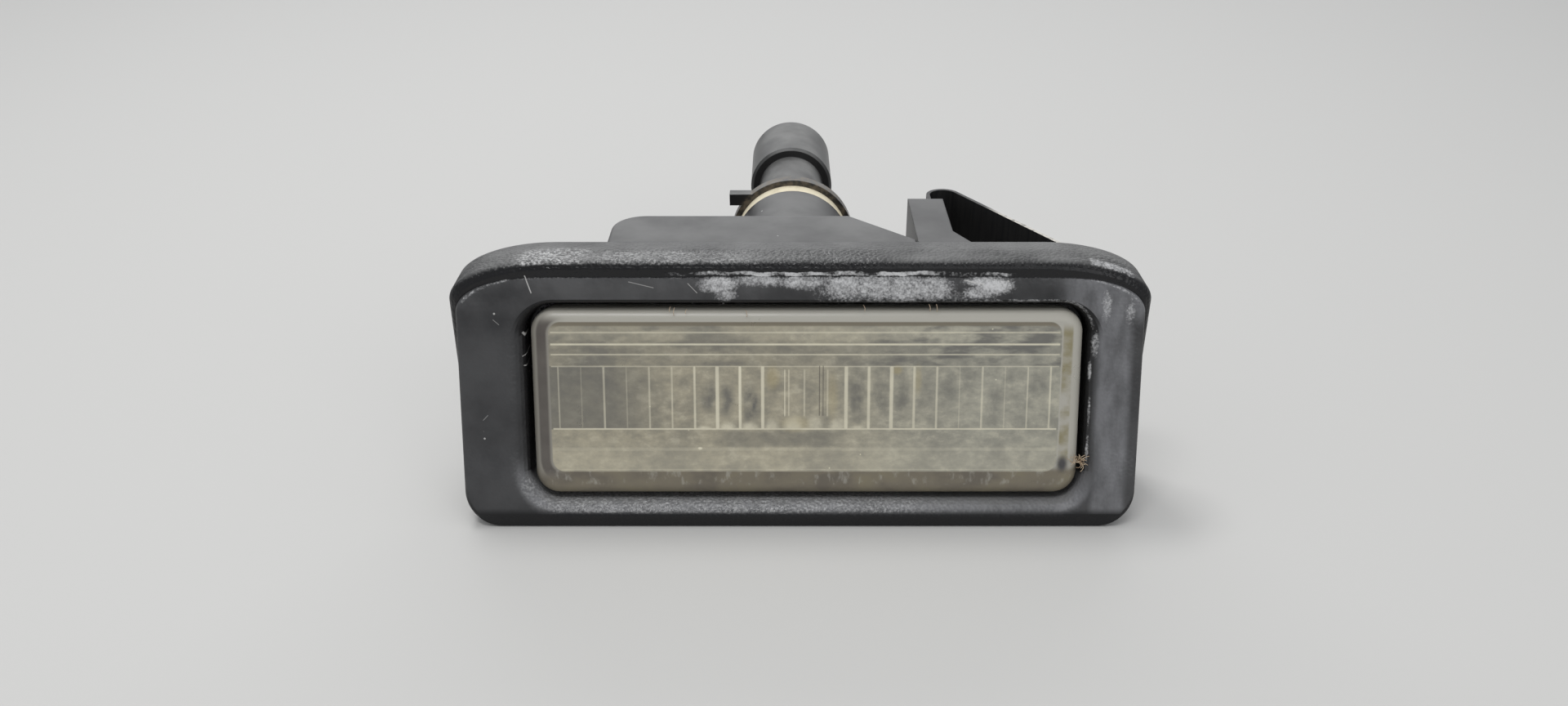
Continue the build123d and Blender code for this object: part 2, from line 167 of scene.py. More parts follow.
class Paint:
    """A material and short calls for the nodes that paint it. Sockets in, sockets out."""

    def __init__(self, name):
        self.material = bpy.data.materials.new(name)
        self.material.use_nodes = True
        self.tree = self.material.node_tree
        self.shader = self.tree.nodes["Principled BSDF"]
        coords = self.tree.nodes.new("ShaderNodeTexCoord")
        self.place = self.vector("SCALE", coords.outputs["Object"], factor=1 / MM)
        self.x, self.y, self.z = self.split(self.place)
        _, self.facing_y, self.facing_z = self.split(coords.outputs["Normal"])

    def feed(self, socket, value):
        """Link a socket to an input, or set the input's own value."""
        if isinstance(value, bpy.types.NodeSocket):
            self.tree.links.new(value, socket)
        elif isinstance(value, tuple) and socket.type == "RGBA":
            socket.default_value = (*value, 1)
        else:
            socket.default_value = value

    def split(self, value):
        node = self.tree.nodes.new("ShaderNodeSeparateXYZ")
        self.feed(node.inputs[0], value)
        return node.outputs

    def vector(self, operation, a, b=None, factor=None):
        node = self.tree.nodes.new("ShaderNodeVectorMath")
        node.operation = operation
        self.feed(node.inputs[0], a)
        if b is not None:
            self.feed(node.inputs[1], b)
        if factor is not None:
            self.feed(node.inputs["Scale"], factor)
        return node.outputs["Vector"]

    def calc(self, operation, a, b=0.0):
        node = self.tree.nodes.new("ShaderNodeMath")
        node.operation = operation
        self.feed(node.inputs[0], a)
        self.feed(node.inputs[1], b)
        return node.outputs[0]

    def chain(self, operation, values):
        result = values[0]
        for value in values[1:]:
            result = self.calc(operation, result, value)
        return result

    def times(self, *values):
        return self.chain("MULTIPLY", values)

    def plus(self, *values):
        return self.chain("ADD", values)

    def minus(self, a, b):
        return self.calc("SUBTRACT", a, b)

    def most(self, *values):
        return self.chain("MAXIMUM", values)

    def inverse(self, mask):
        """1 where a mask is 0, and 0 where it is 1."""
        return self.minus(1.0, mask)

    def level(self, base, rise, mask):
        """A base value, raised by rise where a mask is 1."""
        return self.plus(base, self.times(mask, rise))

    def sway(self, noise, reach):
        """A noise turned into a push of up to half of reach either way."""
        return self.times(self.minus(noise, 0.5), reach)

    def off(self, value, middle):
        """How far a value lies from a middle, on either side."""
        return self.calc("ABSOLUTE", self.minus(value, middle))

    def diagonal(self, a, b):
        """Length across two distances at right angles."""
        return self.calc("SQRT", self.plus(self.times(a, a), self.times(b, b)))

    def fade(self, value, low, high):
        """Smooth step: 0 at low and 1 at high. Low may be above high."""
        node = self.tree.nodes.new("ShaderNodeMapRange")
        node.interpolation_type = "SMOOTHSTEP"
        self.feed(node.inputs["Value"], value)
        node.inputs["From Min"].default_value = min(low, high)
        node.inputs["From Max"].default_value = max(low, high)
        node.inputs["To Min"].default_value = float(low > high)
        node.inputs["To Max"].default_value = float(low < high)
        return node.outputs["Result"]

    def band(self, value, low, high, soft):
        """1 between low and high, fading to 0 over soft on both sides."""
        return self.times(self.fade(value, low - soft, low), self.fade(value, high + soft, high))

    def scaled(self, size, stretch, shift):
        sized = self.vector("MULTIPLY", self.place, tuple(1 / (size * s) for s in stretch))
        return self.vector("ADD", sized, (shift, shift, shift))

    def noise(self, size, detail=3.0, rough=0.55, stretch=(1, 1, 1), shift=0.0, cut=None):
        """Cloudy noise with blobs of about size millimetres. A cut fades it between two of its values."""
        node = self.tree.nodes.new("ShaderNodeTexNoise")
        self.feed(node.inputs["Vector"], self.scaled(size, stretch, shift))
        node.inputs["Scale"].default_value = 1.0
        node.inputs["Detail"].default_value = detail
        node.inputs["Roughness"].default_value = rough
        return self.fade(node.outputs["Fac"], *cut) if cut else node.outputs["Fac"]

    def cells(self, size, feature="SMOOTH_F1", shift=0.0):
        """Distance from the middle of cells of about size millimetres."""
        node = self.tree.nodes.new("ShaderNodeTexVoronoi")
        node.feature = feature
        self.feed(node.inputs["Vector"], self.scaled(size, (1, 1, 1), shift))
        node.inputs["Scale"].default_value = 1.0
        return node.outputs["Distance"]

    def specks(self, spacing, size, shift):
        """Mask of tiny specks, about spacing millimetres apart. Their size is a share of that."""
        middles = self.cells(spacing, feature="F1", shift=shift)
        return self.times(self.fade(middles, size, SPECK_CORE), SPECK_STRENGTH)

    def blend(self, amount, first, second):
        """Colour that goes from first to second as amount goes from 0 to 1."""
        node = self.tree.nodes.new("ShaderNodeMix")
        node.data_type = "RGBA"
        self.feed(node.inputs["Factor"], amount)
        colours = [socket for socket in node.inputs if socket.type == "RGBA"]
        self.feed(colours[0], first)
        self.feed(colours[1], second)
        return [socket for socket in node.outputs if socket.type == "RGBA"][0]

    def relief(self, height, depth, strength=1.0, normal=None):
        """Bump whose height of 1 stands depth millimetres proud."""
        node = self.tree.nodes.new("ShaderNodeBump")
        node.inputs["Strength"].default_value = strength
        node.inputs["Distance"].default_value = depth * MM
        self.feed(node.inputs["Height"], height)
        if normal is not None:
            self.feed(node.inputs["Normal"], normal)
        return node.outputs["Normal"]

    def soft_edge(self, radius):
        """Normal with the sharp edges rounded over radius millimetres."""
        node = self.tree.nodes.new("ShaderNodeBevel")
        node.samples = BEVEL_RAYS
        node.inputs["Radius"].default_value = radius * MM
        return node.outputs["Normal"]

    def finish(self, **values):
        """Set the shader's inputs by name, with _ for a space."""
        for name, value in values.items():
            self.feed(self.shader.inputs[name.replace("_", " ")], value)
        return self.material


def dress(node, material):
    """Give a solid its material."""
    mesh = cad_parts[node].data
    mesh.materials.clear()
    mesh.materials.append(material)
    print(node, "wears", material.name, "with", len(material.node_tree.nodes), "nodes")


# %% [markdown]
# Wear is made of two marks. A rub is a soft oval where something dragged along the plastic and left it
# chalky. A scratch is one thin straight line. Both are given by their place on the front, as X and Z,
# like marks on a drawing. Two more helpers serve the borders: one measures how far a place lies outside a
# rounded box, for what runs around the window, and one paints soft lines, for the ribs of the lens.

# %% Rubs, scratches and borders
RUB_FALL = (1.15, 0.25)
SCRATCH_CORE = 0.3
LINE_SOFT = 0.05
LINE_CORE = 0.5


def rub(p, middle, reach, strength):
    """Soft oval mark, at a place with a half width and a half height."""
    across = p.calc("DIVIDE", p.minus(p.x, middle[0]), reach[0])
    up = p.calc("DIVIDE", p.minus(p.z, middle[1]), reach[1])
    return p.times(p.fade(p.diagonal(across, up), *RUB_FALL), strength)


def rubs(p, marks):
    """The strongest of several rubs."""
    return p.most(*[rub(p, *mark) for mark in marks])


def scratch(p, start, end, width, strength):
    """Thin straight line between two places."""
    run = Vector(end) - Vector(start)
    along = run.normalized()
    dx = p.minus(p.x, start[0])
    dz = p.minus(p.z, start[1])
    travel = p.plus(p.times(dx, along.x), p.times(dz, along.y))
    aside = p.calc("ABSOLUTE", p.minus(p.times(dx, along.y), p.times(dz, along.x)))
    line = p.fade(aside, width, width * SCRATCH_CORE)
    return p.times(line, p.band(travel, 0.0, run.length, width), strength)


def outside(p, middle, half, corner):
    """Distance outside a box with rounded corners, below 0 within it."""
    across = p.plus(p.off(p.x, middle[0]), corner - half[0])
    up = p.plus(p.off(p.z, middle[1]), corner - half[1])
    beyond = p.diagonal(p.most(across, 0.0), p.most(up, 0.0))
    within = p.calc("MINIMUM", p.most(across, up), 0.0)
    return p.minus(p.plus(beyond, within), corner)


def stripe(p, value, middle, half, power):
    """Soft line where a value is near its middle."""
    return p.times(p.fade(p.off(value, middle), half + LINE_SOFT, half * LINE_CORE), power)


def stripes(p, value, lines):
    """The strongest of several lines."""
    return p.most(*[stripe(p, value, *line) for line in lines])


# %% [markdown]
# The housing is a black moulding with a fine leather grain on its front parts. The mould was etched, so
# the grain is a pattern of small cells under half a millimetre across. Beneath the bright strips each
# cell gives a glint of its own, which is why the grain goes into the relief. The relief also bows the
# flange's top down towards its front edge and rounds the bars around the window. Behind the flange the
# mould was plain.

# %% Grain and roundings of the housing
GRAIN_SIZE = 0.40
GRAIN_RISE = 0.10
GRAIN_CELL = (0.75, 0.1)
CELL_SHARE = 0.7
PIT_SIZE = 0.2
FLAT_GRAIN = 0.40
ROLLED_TILT = (0.30, 0.60)
ETCHED_DEPTH = (0.0, -0.6)
CROWN_DROP = 1.0
CROWN_DEPTH = (-1.6, -5.8)
WINDOW = ((0.8, -0.8), (34.75, 12.0), 3.65)
BEAD_SWELL = 0.75
BEAD_LEAST = 0.30
BEAD_EDGE = (0.4, 2.5)
BEAD_HEIGHT = (-6.0, -10.5)
BEAD_DEPTH = (-6.0, -6.2)
LIP_EDGE = (0.3, 1.0, 1.2)
LIP_HEIGHT = (-7.0, -11.0)
LIP_GRAIN_LOSS = 0.38


def leather_grain(p):
    """Height of the grain, from 0 in the valleys to about 1 on the cells."""
    cell = p.fade(p.cells(GRAIN_SIZE), *GRAIN_CELL)
    pits = p.noise(PIT_SIZE, detail=2.0)
    return p.plus(p.times(cell, CELL_SHARE), p.times(pits, 1 - CELL_SHARE))


def flange_crown(p):
    """Drop of the flange's top, which bows down a little towards its front edge."""
    return p.fade(p.y, *CROWN_DEPTH)


def window_bead(p):
    """Swell of the bars around the window, which are round like a bead, most of all under it."""
    swell = p.level(BEAD_LEAST, 1 - BEAD_LEAST, p.fade(p.z, *BEAD_HEIGHT))
    return p.times(p.fade(outside(p, *WINDOW), *BEAD_EDGE), swell, p.fade(p.y, *BEAD_DEPTH))


def foot_lip(p):
    """Mask of the rolled lip along the window's lower edge."""
    return p.times(p.band(outside(p, *WINDOW), *LIP_EDGE), p.fade(p.z, *LIP_HEIGHT))


def etched_grain(p, grain):
    """Grain where the mould was etched: deep on the rolled edges, shallow on the leaning face."""
    rolled = p.level(FLAT_GRAIN, 1 - FLAT_GRAIN, p.fade(p.facing_z, *ROLLED_TILT))
    shallow = p.inverse(p.times(foot_lip(p), LIP_GRAIN_LOSS))
    return p.times(grain, rolled, shallow, p.fade(p.y, *ETCHED_DEPTH))


print("grain of", GRAIN_SIZE, "mm, raised by", GRAIN_RISE, "mm")

# %% [markdown]
# Dust settles where a surface looks up, so its mask is the upward part of the facing. The leaning face
# gets a thin grey film, the upper faces get a thick one, and walls that stand upright or look down stay
# black. The film is thicker on the window's lower lip, a painted highlight, and fades out towards the foot,
# a painted shade. Hands have wiped the bars unevenly: the right one is the greyest, and its haze is laid
# brightest along the bar's rounded middle and on the lip, a painted highlight, and fades at the foot as
# painted shade.

# %% Dust on the housing, with painted highlight and shade
FACE_DEPTH = (-6.1, -6.2)
FLANGE_DEPTH = (-6.15, -6.0)
FILM_TILT = (0.06, 0.27)
FILM_SHADE_HEIGHT = (-14.8, -13.7)
FILM_CUT = (0.05, 0.75)
FILM_BASE = 0.70
FILM_ON_TOP_BAR = 0.14
FILM_AT_TOP_LEFT = 0.35
FILM_HIGHLIGHT_ON_LIP = 0.80
FILM_LOST_INSIDE = 0.22
TOP_BAR_HEIGHT = (10.0, 11.4)
TOP_LEFT_HEIGHT = (9.0, 12.0)
TOP_LEFT_SPAN = (6.0, -6.0)
INNER_EDGE = (2.2, 0.6)
THICK_TILT = (0.58, 0.98)
THICK_CUT = (0.10, 0.70)
ARM_SPAN = (15.0, 15.6)
ARM_DEPTH = (0.0, 2.0)
DUST_LOST_ON_ARM = 0.28
HAZE_TILT = (0.10, 0.27)
HAZE_SHADE_HEIGHT = (-14.8, -13.5)
BAR_SHEEN_SPAN = (37.2, 40.2, 1.1)
HAZE_SHOULDER_SPAN = (30.5, 34.5)
HAZE_SHOULDER_HEIGHT = (8.0, 11.0)
HAZE_LEAST = 0.40
HAZE_STREAKS = 0.70


def housing_dust_and_light(p):
    """Masks of the thin film on the leaning face, with a painted highlight on the lip and painted shade
    towards the foot, and of the thick dust on top.
    """
    cloud = p.noise(9.0, detail=4.0)
    top_left = p.times(p.fade(p.z, *TOP_LEFT_HEIGHT), p.fade(p.x, *TOP_LEFT_SPAN))
    inner = p.fade(outside(p, *WINDOW), *INNER_EDGE)
    top_bar = p.times(p.fade(p.z, *TOP_BAR_HEIGHT), FILM_ON_TOP_BAR)
    lip = foot_lip(p)
    # Painted highlight: the film is thicker on the lip.
    most = p.plus(FILM_BASE, top_bar, p.times(top_left, FILM_AT_TOP_LEFT), p.times(lip, FILM_HIGHLIGHT_ON_LIP))
    amount = p.minus(most, p.times(inner, FILM_LOST_INSIDE))
    # Painted shade: the film fades out towards the foot.
    on_frame = p.times(p.fade(p.y, *FACE_DEPTH), p.fade(p.z, *FILM_SHADE_HEIGHT))
    film = p.times(p.fade(p.facing_z, *FILM_TILT), p.fade(cloud, *FILM_CUT), amount, on_frame)
    on_arm = p.times(p.fade(p.x, *ARM_SPAN), p.fade(p.y, *ARM_DEPTH))
    held = p.inverse(p.times(on_arm, DUST_LOST_ON_ARM))
    settled = p.times(p.fade(p.facing_z, *THICK_TILT), p.most(p.fade(p.y, *FLANGE_DEPTH), lip))
    thick = p.times(settled, p.fade(cloud, *THICK_CUT), held)
    return film, thick


def haze_and_sheen(p):
    """Mask of the grey haze that wiping has left on the right bar, its shoulder and the lip, laid as a
    painted highlight along the bar's middle and on the lip, and fading to painted shade at the foot.
    """
    streaks = p.noise(3.2, detail=5.0, rough=0.6, stretch=(0.7, 1, 1.8), shift=14.0, cut=(0.28, 0.72))
    # Painted highlight: the haze is brightest along the middle of the rounded right bar.
    bar = p.band(p.x, *BAR_SHEEN_SPAN)
    shoulder = p.times(p.fade(p.x, *HAZE_SHOULDER_SPAN), p.fade(p.z, *HAZE_SHOULDER_HEIGHT))
    # Painted shade: the haze fades out towards the foot.
    leaning = p.times(p.fade(p.facing_z, *HAZE_TILT), p.fade(p.y, *FACE_DEPTH), p.fade(p.z, *HAZE_SHADE_HEIGHT))
    amount = p.level(HAZE_LEAST, HAZE_STREAKS, streaks)
    return p.times(p.most(bar, shoulder, foot_lip(p)), leaning, amount)


# %% [markdown]
# The top bar has been dragged along something pale. The patches were read off the photograph one by one,
# each with its middle, its reach and its strength. The frame's two shoulders have a thin pale line of the
# same colour, part chalk and part painted highlight on their edge, and the flange has one broad streak near
# its right end, part chalk and part painted highlight on its rounded corner.

# %% Rubs and painted highlights on the housing
TOP_BAR_RUBS = [
    ((-9.9, 13.6), (3.4, 1.5), 1.10),
    ((-9.2, 12.5), (2.0, 1.3), 0.85),
    ((-5.0, 14.1), (5.0, 1.10), 0.95),
    ((0.5, 13.9), (4.6, 1.25), 0.95),
    ((5.5, 13.3), (4.4, 2.3), 1.00),
    ((9.0, 13.2), (4.6, 2.4), 1.10),
    ((12.8, 13.1), (4.0, 2.3), 1.10),
    ((16.2, 13.0), (3.8, 2.3), 0.98),
    ((22.0, 13.9), (2.9, 0.8), 1.15),
    ((23.6, 13.4), (3.4, 1.4), 1.30),
    ((21.8, 12.6), (3.2, 1.1), 1.00),
    ((12.5, 12.3), (14.0, 1.2), 0.62),
]
DENT = ((19.2, 13.1), (1.35, 1.25), 0.30)
RIGHT_BAR_RUBS = [
    ((37.4, 11.0), (0.9, 2.4), 0.78),
    ((36.3, 6.3), (0.6, 2.2), 0.75),
    ((35.9, 2.9), (0.24, 1.6), 1.00),
    ((36.0, -1.8), (0.20, 2.8), 0.80),
    ((36.0, -6.6), (0.24, 2.2), 0.80),
    ((40.3, 10.3), (0.8, 2.4), 0.62),
]
RUB_HEIGHT = (14.65, 14.45)
RUB_DEPTH = (-5.5, -5.9)
FLANGE_STREAK = ((35.6, 16.1), (40.4, 14.2), 0.8, 0.72)
STREAK_FRONT_DEPTH = (-5.9, -5.5)
STREAK_BACK_DEPTH = (-3.6, -4.4)
SHOULDER_MIDDLE = (31.25, 10.1)
SHOULDER_REACH = (11.0, 4.5)
SHOULDER_RING = (0.955, 0.975, 0.025)
SHOULDER_SPAN = (3.0, 5.0)
SHOULDER_HEIGHT = (0.5, 2.0)
SHOULDER_STRENGTH = 0.50


def shoulder_lines(p):
    """Thin pale line along the frame's two rounded shoulders, part worn chalk and part painted highlight on
    their edge.
    """
    across = p.minus(p.calc("ABSOLUTE", p.x), SHOULDER_MIDDLE[0])
    up = p.minus(p.z, SHOULDER_MIDDLE[1])
    across_share = p.calc("DIVIDE", across, SHOULDER_REACH[0])
    up_share = p.calc("DIVIDE", up, SHOULDER_REACH[1])
    ring = p.band(p.diagonal(across_share, up_share), *SHOULDER_RING)
    return p.times(ring, p.fade(across, *SHOULDER_SPAN), p.fade(up, *SHOULDER_HEIGHT), SHOULDER_STRENGTH)


print(len(TOP_BAR_RUBS), "rubs on the top bar and", len(RIGHT_BAR_RUBS), "on the right one")

# %% [markdown]
# The upright strip above the bar and the upper edge of the window have ragged lines of chalk too. They
# wander a little, the strip has gaps and is almost worn off beside the dent, and the line at the window
# shows only along the right half of its top. Chalk sits on the raised cells of the grain, so the grain
# itself breaks all of it up, with a streaky noise for the drag.

# %% Chalk lines and the broken chalk
LINE_WANDER = 0.9
STRIP_LEFT_SPAN = (-19.0, -6.0)
STRIP_RIGHT_SPAN = (26.6, 24.0)
STRIP_HEIGHT = (14.75, 15.05, 0.22)
STRIP_IN_GAPS = 0.45
STRIP_WORN_SPAN = (17.5, 21.5, 2.0)
STRIP_WORN = 0.7
SILL_EDGE = (0.30, 0.55, 0.20)
SILL_SPAN = (-4.0, 8.0)
SILL_HEIGHT = (6.0, 10.0)
SILL_WANDER = 0.3
SILL_STRENGTH = 0.55
DRAG_SWAY = 1.4
FINE_SWAY = 1.6
GRAIN_SWAY = 0.4
CHALK_CUT = (0.20, 1.60)
CHALK_REACH = (0.04, 0.35)


def chalk_lines(p):
    """Mask of the ragged lines along the upright strip and along the window's upper edge."""
    wander = p.sway(p.noise(2.4, shift=12.0), LINE_WANDER)
    reach = p.times(p.fade(p.x, *STRIP_LEFT_SPAN), p.fade(p.x, *STRIP_RIGHT_SPAN))
    kept = p.noise(3.0, detail=4.0, stretch=(1.6, 1, 1), shift=25.0, cut=(0.38, 0.58))
    gaps = p.plus(STRIP_IN_GAPS, kept)
    worn_off = p.inverse(p.times(p.band(p.x, *STRIP_WORN_SPAN), STRIP_WORN))
    strip = p.times(reach, p.band(p.plus(p.z, wander), *STRIP_HEIGHT), gaps, worn_off)
    edge = p.plus(outside(p, *WINDOW), p.times(wander, SILL_WANDER))
    sill = p.times(p.band(edge, *SILL_EDGE), p.fade(p.x, *SILL_SPAN), p.fade(p.z, *SILL_HEIGHT))
    return p.most(strip, p.times(sill, SILL_STRENGTH))


def rubs_and_highlights(p, grain):
    """Mask of the chalky rubs on the front frame and of the streak on the flange; the shoulder lines and the
    streak are partly painted highlight.
    """
    marks = p.times(rubs(p, TOP_BAR_RUBS + RIGHT_BAR_RUBS), p.fade(p.z, *RUB_HEIGHT))
    # The shoulder lines are partly a painted highlight on the frame's edge.
    field = p.most(marks, chalk_lines(p), shoulder_lines(p))
    field = p.times(field, p.inverse(rub(p, *DENT)), p.fade(p.y, *RUB_DEPTH))
    on_flange = p.times(p.fade(p.y, *STREAK_FRONT_DEPTH), p.fade(p.y, *STREAK_BACK_DEPTH))
    # The flange's streak is partly a painted highlight on its rounded corner.
    field = p.most(field, p.times(scratch(p, *FLANGE_STREAK), on_flange))
    dragged = p.noise(1.5, detail=6.0, rough=0.75, stretch=(1.8, 1, 0.8))
    fine = p.noise(0.25, rough=0.6, shift=7.0)
    ragged = p.plus(field, p.sway(dragged, DRAG_SWAY), p.sway(fine, FINE_SWAY), p.sway(grain, GRAIN_SWAY))
    return p.times(p.fade(ragged, *CHALK_CUT), p.fade(field, *CHALK_REACH))


# %% [markdown]
# Hands have polished the grain along the flange's front edge, most of all towards its left end, and along
# the window's lower lip. Polished plastic is smoother, so it glitters. Where it glitters most, the tops of
# the cells are painted pale in uneven patches, a painted highlight for the glints.

# %% Polished grain and painted glints
POLISHED_SPANS = [((-32.5, -27.5, 3.5), 1.0), ((-25.0, 8.0, 4.0), 0.75), ((37.0, 41.0, 2.0), 0.8)]
POLISH_LEAST = 0.25
POLISH_BACK_DEPTH = (-1.5, -3.0)
POLISH_FRONT_DEPTH = (-6.3, -6.1)
LIP_LEFT_SPAN = (-34.0, -30.0)
LIP_RIGHT_SPAN = (24.0, 8.0)
LIP_POLISH = 0.8
GLINT_PLACES = [((-32.0, -28.5, 4.5), (-1.4, -3.2), 1.0), ((-22.0, -10.0, 7.0), (-2.4, -3.8), 0.45)]
GLINT_TILT = (0.45, 0.75)
GLINT_LIP_TILT = (0.20, 0.40)
GLINT_ON_LIP = 0.38
GLINT_VALLEYS = 0.10
GLINT_CELLS = 0.78
PATCH_LEAST = 0.55
PATCH_RISE = 0.60


def polish(p):
    """Mask of the places where hands have polished the grain."""
    spans = [p.times(p.band(p.x, *span), share) for span, share in POLISHED_SPANS]
    on_flange = p.times(p.fade(p.y, *POLISH_BACK_DEPTH), p.fade(p.y, *POLISH_FRONT_DEPTH))
    lip = p.times(foot_lip(p), p.fade(p.x, *LIP_RIGHT_SPAN), p.fade(p.x, *LIP_LEFT_SPAN), LIP_POLISH)
    return p.most(p.times(p.most(*spans, POLISH_LEAST), on_flange), lip)


def glint_cells(p):
    """Mask of the raised cells painted pale as glints, a painted highlight on the flange's front edge and on
    the lip.
    """
    places = [p.times(p.band(p.x, *span), p.fade(p.y, *deep), share) for span, deep, share in GLINT_PLACES]
    looking_up = p.times(p.fade(p.facing_z, *GLINT_TILT), p.fade(p.y, *FLANGE_DEPTH))
    on_flange = p.times(p.most(*places), looking_up)
    on_lip = p.times(foot_lip(p), p.fade(p.x, *LIP_RIGHT_SPAN), p.fade(p.facing_z, *GLINT_LIP_TILT), GLINT_ON_LIP)
    cells = p.noise(0.26, detail=2.0, stretch=(1.4, 1, 1), shift=21.0, cut=(0.42, 0.66))
    patchy = p.level(PATCH_LEAST, PATCH_RISE, p.noise(2.2, detail=2.0, shift=23.0, cut=(0.30, 0.65)))
    return p.times(p.most(on_flange, on_lip), p.level(GLINT_VALLEYS, GLINT_CELLS, cells), patchy)


# %% [markdown]
# Behind the flange the bare plastic has a faint grey bloom, as old moulded plastic has. A few sharp
# scratches and pale specks finish the front. The scratches are thin and clear because the plastic is cut
# there and not only rubbed. The colours are laid one over another, from the bare plastic to the cuts.

# %% Scratches and the finished housing
SCRATCHES = [
    ((-33.5, 14.6), (-32.8, 12.6), 0.10, 0.75),
    ((-20.9, 13.9), (-17.9, 13.2), 0.06, 0.50),
    ((-13.7, 13.7), (-12.6, 12.6), 0.07, 0.50),
    ((19.9, 14.1), (22.3, 13.6), 0.07, 0.80),
    ((-34.2, 7.5), (-34.0, 7.0), 0.12, 0.80),
    ((-34.3, 4.7), (-33.9, 4.65), 0.07, 0.80),
    ((-34.2, 3.5), (-34.0, 3.3), 0.08, 0.70),
    ((-37.6, 9.4), (-36.9, 8.8), 0.06, 0.35),
    ((-39.4, -2.8), (-38.8, -2.2), 0.06, 0.35),
]
SCRATCH_DEPTH = (-5.0, -5.6)
PLASTIC_BLACK = (0.007, 0.007, 0.008)
BLOOM_GREY = (0.032, 0.032, 0.033)
FILM_AND_SHEEN_GREY = (0.092, 0.092, 0.094)
HAZE_AND_SHEEN_GREY = (0.180, 0.181, 0.189)
DUST_GREY = (0.165, 0.165, 0.163)
CHALK_AND_HIGHLIGHT = (0.66, 0.66, 0.665)
GLINT_PALE = (0.60, 0.60, 0.595)
CUT_PALE = (0.62, 0.61, 0.59)
BLOOM_DEPTH = (-0.2, 0.4)
BLOOM_LEAST = 0.45
BLOOM_CLOUDS = 0.40
DUST_ON_POLISH = 0.65
POLISHED_ROUGH = 0.17
DULL_ROUGH = 0.20
DUST_ROUGH = 0.25
CHALK_ROUGH = 0.25
POLISHED_RELIEF = 0.5
HOUSING_SPECULAR = 0.36
HOUSING_EDGE_RADIUS = 0.35


def housing_colour(p, film, thick, dull, chalk):
    """Colour of the housing, with its dust, wear and cuts, and with painted highlights and shade on its
    front.
    """
    cuts = p.most(*[scratch(p, *mark) for mark in SCRATCHES])
    cuts = p.times(cuts, p.fade(p.y, *SCRATCH_DEPTH))
    cloudy = p.noise(5.0, shift=18.0, cut=(0.30, 0.70))
    bloom = p.times(p.fade(p.y, *BLOOM_DEPTH), p.level(BLOOM_LEAST, BLOOM_CLOUDS, cloudy))
    dusty = p.times(thick, p.level(DUST_ON_POLISH, 1 - DUST_ON_POLISH, dull))
    colour = p.blend(bloom, PLASTIC_BLACK, BLOOM_GREY)
    # Painted light: the film and the haze carry painted highlights on the lip and the right bar, and painted
    # shade towards the foot.
    colour = p.blend(film, colour, FILM_AND_SHEEN_GREY)
    colour = p.blend(haze_and_sheen(p), colour, HAZE_AND_SHEEN_GREY)
    colour = p.blend(dusty, colour, DUST_GREY)
    # Painted highlight: pale cell tops stand in for the glints.
    colour = p.blend(glint_cells(p), colour, GLINT_PALE)
    # The chalk mask also carries painted highlights on the shoulders and on the flange's corner.
    colour = p.blend(chalk, colour, CHALK_AND_HIGHLIGHT)
    return p.blend(p.most(cuts, p.specks(spacing=4.6, size=0.036, shift=3.1)), colour, CUT_PALE)


def housing_plastic():
    p = Paint("housing_plastic")
    grain = leather_grain(p)
    # The film carries a painted highlight on the lip and painted shade towards the foot.
    film, thick = housing_dust_and_light(p)
    chalk = rubs_and_highlights(p, grain)
    polished = polish(p)
    dull = p.inverse(polished)
    colour = housing_colour(p, film, thick, dull, chalk)
    dull_rough = p.times(dull, p.level(DULL_ROUGH, DUST_ROUGH, thick))
    rough = p.plus(POLISHED_ROUGH, dull_rough, p.times(chalk, CHALK_ROUGH))
    crowned = p.relief(flange_crown(p), -CROWN_DROP, normal=p.soft_edge(HOUSING_EDGE_RADIUS))
    beaded = p.relief(window_bead(p), BEAD_SWELL, normal=crowned)
    raised = p.times(etched_grain(p, grain), p.level(1.0, POLISHED_RELIEF, polished))
    normal = p.relief(raised, GRAIN_RISE, normal=beaded)
    return p.finish(Base_Color=colour, Roughness=rough, Specular_IOR_Level=HOUSING_SPECULAR, Normal=normal)


dress("housing", housing_plastic())

# %% [markdown]
# The lens is one clear moulding, ribbed on its inner face: a band of upright flutes in the middle, with
# rows of prisms above and below. Age has turned it to a yellowed haze, so the ribs show only as bright
# lines where their edges catch the light. Each line lies at its rib's own place. Its width and brightness
# are its own too, because no two ribs of an old lens are equally clean. The flutes' edges are counted
# outwards from the wide middle one, and the other lines are given by their place.

# %% Places of the ribs
LENS_MIDDLE = 0.53
MIDDLE_FLUTE = 4.74
FLUTE_PITCH = 2.81
FLUTE_TOP = 3.64
FLUTE_FOOT = -4.03
FIELD = ((0.6, -0.17), (31.6, 9.17), 1.5)
LEFT_LINES = [
    (1, 0.23, 0.74), (2, 0.19, 0.92), (3, 0.25, 0.78), (4, 0.15, 0.66), (5, 0.11, 0.46),
    (6, 0.12, 0.42), (7, 0.07, 0.22), (8, 0.13, 0.46), (9, 0.06, 0.16), (10, 0.08, 0.36),
]
RIGHT_LINES = [
    (1, 0.25, 0.78), (2, 0.20, 0.70), (3, 0.26, 0.74), (4, 0.17, 0.60), (5, 0.14, 0.56),
    (6, 0.06, 0.26), (7, 0.13, 0.52), (8, 0.06, 0.24), (9, 0.09, 0.44), (10, 0.12, 0.56),
]
MIDDLE_LINES = [(-1.90, 0.05, 0.75), (-1.40, 0.05, 0.60), (0.53, 0.11, 0.40), (3.40, 0.10, 0.35)]
DARK_LINES = [(2.40, 0.05, 0.7), (2.85, 0.05, 0.6)]
PRISM_LINES = [(7.74, 0.10, 0.50), (6.31, 0.12, 0.85), (5.08, 0.08, 0.60), (FLUTE_TOP, 0.07, 0.42)]
FOOT_LINES = [(FLUTE_FOOT, 0.09, 0.75), (-6.55, 0.22, 0.16), (-9.14, 0.09, 0.30)]


